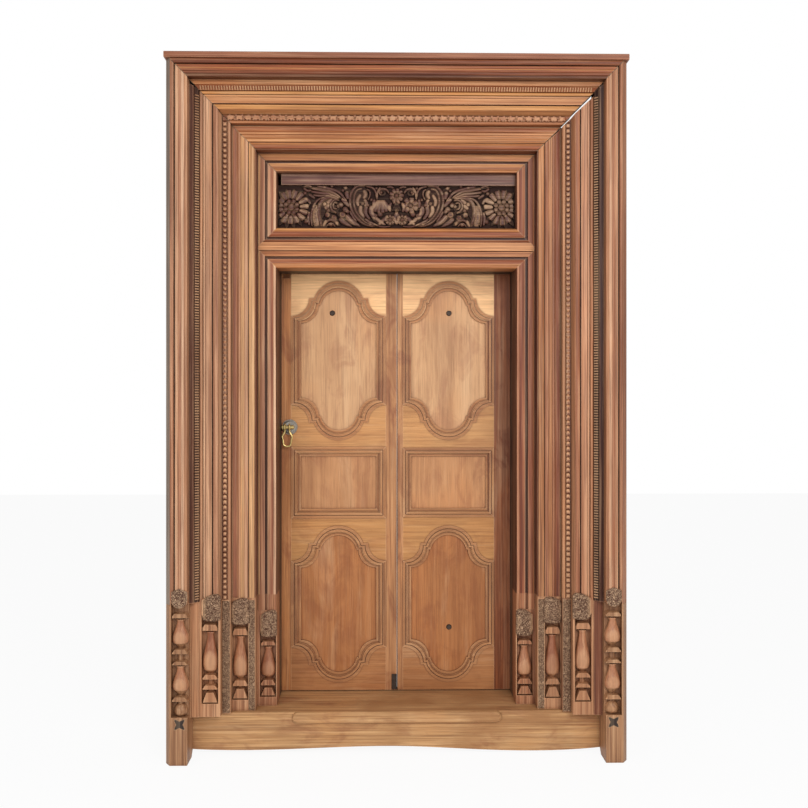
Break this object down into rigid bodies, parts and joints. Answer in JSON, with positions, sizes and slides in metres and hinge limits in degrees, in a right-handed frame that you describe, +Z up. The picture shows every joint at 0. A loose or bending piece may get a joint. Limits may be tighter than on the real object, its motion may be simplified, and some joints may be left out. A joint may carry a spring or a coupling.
{
  "type": "carved temple door",
  "caption": "Carved double door in a deep stepped timber frame, with half balusters at its feet, a carved frieze, cusped panels and a ring latch.",
  "frame": {"origin": "on the floor, at the middle of the frame's footprint", "axes": "+X to the right seen from the front, the carved front faces -Y, +Z up"},
  "size_m": [1.6, 0.4, 2.445],
  "materials": {
    "frame_wood": "waxed reddish teak, worn",
    "carcass_wood": "plain sawn timber",
    "sill_wood": "pale scrubbed timber, chipped",
    "leaf_wood": "waxed brown timber",
    "panel_wood": "waxed honey timber",
    "frieze_wood": "dull purplish brown timber",
    "dark_inlay": "near-black inlay",
    "pewter": "dull grey cast metal",
    "brass": "worn yellow brass",
    "iron": "dark iron"
  },
  "bodies": {
    "frame": {"cap_board": "frame_wood", "carved_frieze": "frieze_wood", "frieze_backboard": "frieze_wood", "frieze_top_board": "frieze_wood", "head_bead_strip": "frame_wood", "head_dentil_strip": "frame_wood", "head_rear_battens": "carcass_wood", "inner_head": "frame_wood", "left_bead_strip": "frame_wood", "left_dentil_strip": "frame_wood", "left_inner_jamb": "frame_wood", "left_lining": "carcass_wood", "left_outer_jamb": "frame_wood", "left_rear_battens": "carcass_wood", "left_rear_post": "carcass_wood", "left_second_jamb": "frame_wood", "left_star_inlay": "dark_inlay", "left_third_jamb": "frame_wood", "outer_head": "frame_wood", "rear_head": "carcass_wood", "right_bead_strip": "frame_wood", "right_dentil_strip": "frame_wood", "right_inner_jamb": "frame_wood", "right_lining": "carcass_wood", "right_outer_jamb": "frame_wood", "right_rear_battens": "carcass_wood", "right_rear_post": "carcass_wood", "right_second_jamb": "frame_wood", "right_star_inlay": "dark_inlay", "right_third_jamb": "frame_wood", "second_head": "frame_wood", "sill": "sill_wood", "third_head": "frame_wood", "transom": "frame_wood"},
    "left_leaf": {"latch_bar": "brass", "latch_rose": "pewter", "left_bottom_rail": "leaf_wood", "left_hinge_stile": "leaf_wood", "left_leaf_bolts": "iron", "left_lock_rail": "leaf_wood", "left_lower_panel": "panel_wood", "left_meeting_stile": "leaf_wood", "left_middle_panel": "panel_wood", "left_middle_rail": "leaf_wood", "left_top_rail": "leaf_wood", "left_upper_panel": "panel_wood", "meeting_plate": "iron"},
    "right_leaf": {"right_bottom_rail": "leaf_wood", "right_hinge_stile": "leaf_wood", "right_leaf_bolts": "iron", "right_lock_rail": "leaf_wood", "right_lower_panel": "panel_wood", "right_meeting_stile": "leaf_wood", "right_middle_panel": "panel_wood", "right_middle_rail": "leaf_wood", "right_top_rail": "leaf_wood", "right_upper_panel": "panel_wood"},
    "latch_bail": {"latch_bail": "pewter"}
  },
  "joints": [
    {"name": "left_leaf_swing", "type": "hinge", "parent": "frame", "child": "left_leaf", "pos_m": [-0.4375, 0.1725, 0.9475], "axis": [0, 0, 1], "range_deg": [0, 95]},
    {"name": "right_leaf_swing", "type": "hinge", "parent": "frame", "child": "right_leaf", "pos_m": [0.4375, 0.1725, 0.9475], "axis": [0, 0, -1], "range_deg": [0, 95]},
    {"name": "bail_swing", "type": "hinge", "parent": "left_leaf", "child": "latch_bail", "pos_m": [-0.4105, 0.128, 1.148], "axis": [-1, 0, 0], "range_deg": [0, 150]}
  ]
}
